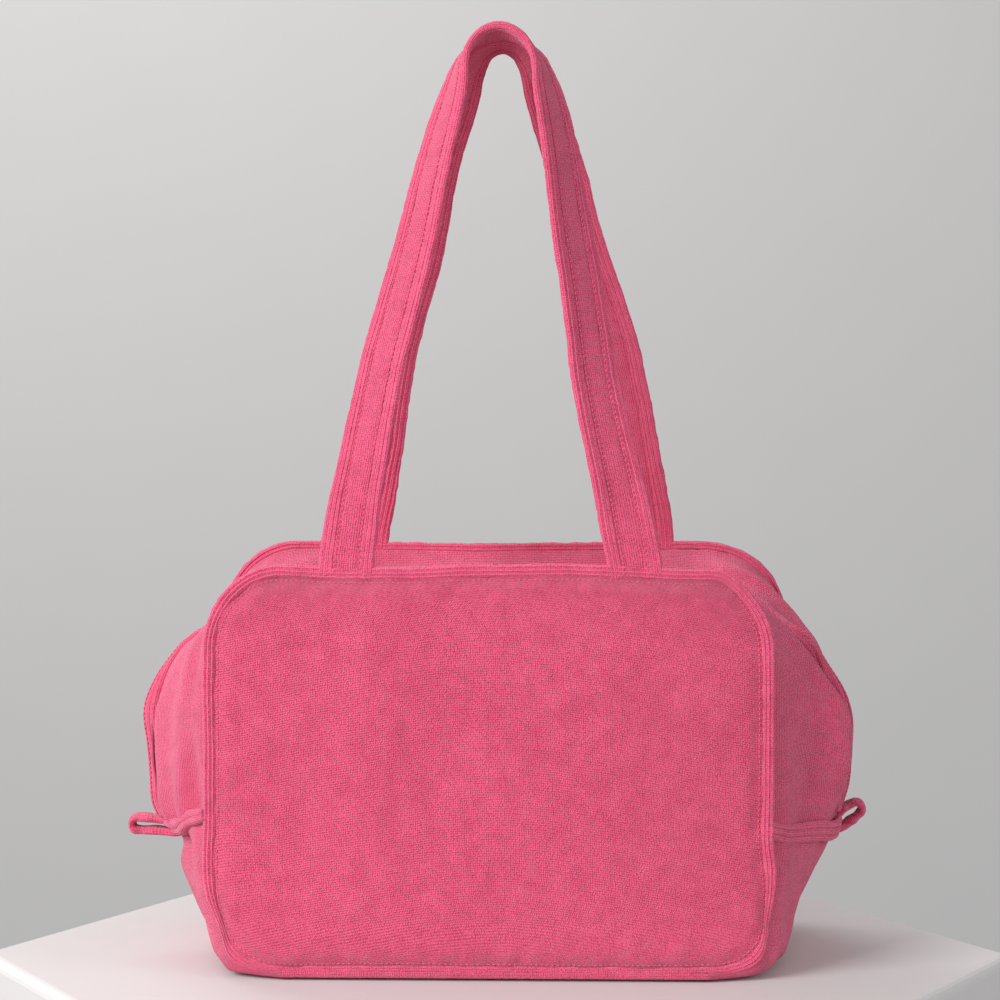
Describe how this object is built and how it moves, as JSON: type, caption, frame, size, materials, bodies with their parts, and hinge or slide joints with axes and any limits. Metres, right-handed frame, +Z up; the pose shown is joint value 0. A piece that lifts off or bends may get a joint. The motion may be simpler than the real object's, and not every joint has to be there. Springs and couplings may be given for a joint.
{
  "type": "beach bag",
  "caption": "Soft terry shoulder bag with piped front and back panels, a wraparound side strip, a zip over the top, end loops and a pair of long handles.",
  "frame": {"origin": "on the ground, under the middle of the bag", "axes": "+X along the bag to its right end as seen from the front, +Y from the front panel to the back panel, +Z up"},
  "size_m": [0.4464, 0.1646, 0.5549],
  "materials": {
    "terry": "soft looped pile, in rows",
    "lining": "plain woven cotton",
    "zip_tape": "herringbone woven tape",
    "zip_coil": "satin coil",
    "zip_metal": "satin",
    "stiffener": "matt sheet",
    "label": "plain satin ribbon, no text"
  },
  "bodies": {
    "bag": {"front_panel": "terry", "back_panel": "terry", "front_piping": "terry", "back_piping": "terry", "base_gusset": "terry", "left_lower_gusset": "terry", "right_lower_gusset": "terry", "front_left_gusset": "terry", "front_right_gusset": "terry", "back_left_gusset": "terry", "back_right_gusset": "terry", "left_cross_seam": "terry", "right_cross_seam": "terry", "left_loop": "terry", "right_loop": "terry", "front_handle_roots": "terry", "back_handle_roots": "terry", "front_handle_anchors": "lining", "back_handle_anchors": "lining", "left_zip_hems": "terry", "right_zip_hems": "terry", "left_zip_tapes": "zip_tape", "right_zip_tapes": "zip_tape", "left_zip_coils": "zip_coil", "right_zip_coils": "zip_coil", "zip_end_stops": "zip_metal", "base_board": "stiffener", "base_lining": "lining", "front_lining": "lining", "back_lining": "lining", "left_lower_lining": "lining", "right_lower_lining": "lining", "left_upper_linings": "lining", "right_upper_linings": "lining", "slip_pocket": "lining", "pocket_hem": "terry", "blank_label": "label"},
    "front_flap": {"front_flap_cloth": "terry", "front_zip_hem": "terry", "front_zip_tape": "zip_tape", "front_zip_coil": "zip_coil"},
    "back_flap": {"back_flap_cloth": "terry", "back_zip_hem": "terry", "back_zip_tape": "zip_tape", "back_zip_coil": "zip_coil"},
    "front_handle": {"front_handle_strap": "terry", "front_handle_outer_edge": "terry", "front_handle_inner_edge": "terry"},
    "back_handle": {"back_handle_strap": "terry", "back_handle_outer_edge": "terry", "back_handle_inner_edge": "terry"},
    "slider": {"zip_slider": "zip_metal"},
    "pull": {"zip_pull": "zip_metal"}
  },
  "joints": [
    {"name": "front_flap_lift", "type": "hinge", "parent": "bag", "child": "front_flap", "pos_m": [0, -0.0608, 0.23563], "axis": [1, 0, 0], "range_deg": [0, 105]},
    {"name": "back_flap_lift", "type": "hinge", "parent": "bag", "child": "back_flap", "pos_m": [0, 0.0608, 0.23563], "axis": [-1, 0, 0], "range_deg": [0, 105]},
    {"name": "front_handle_fold", "type": "hinge", "parent": "bag", "child": "front_handle", "pos_m": [0, -0.066, 0.24563], "axis": [1, 0, 0], "range_deg": [0, 140]},
    {"name": "back_handle_fold", "type": "hinge", "parent": "bag", "child": "back_handle", "pos_m": [0, 0.066, 0.24563], "axis": [-1, 0, 0], "range_deg": [0, 140]},
    {"name": "slider_run", "type": "slide", "parent": "bag", "child": "slider", "axis": [-1, 0, 0], "range_m": [0, 0.292]},
    {"name": "pull_swing", "type": "hinge", "parent": "slider", "child": "pull", "pos_m": [0.146, 0, 0.19648], "axis": [0, 1, 0], "range_deg": [0, 170]}
  ]
}
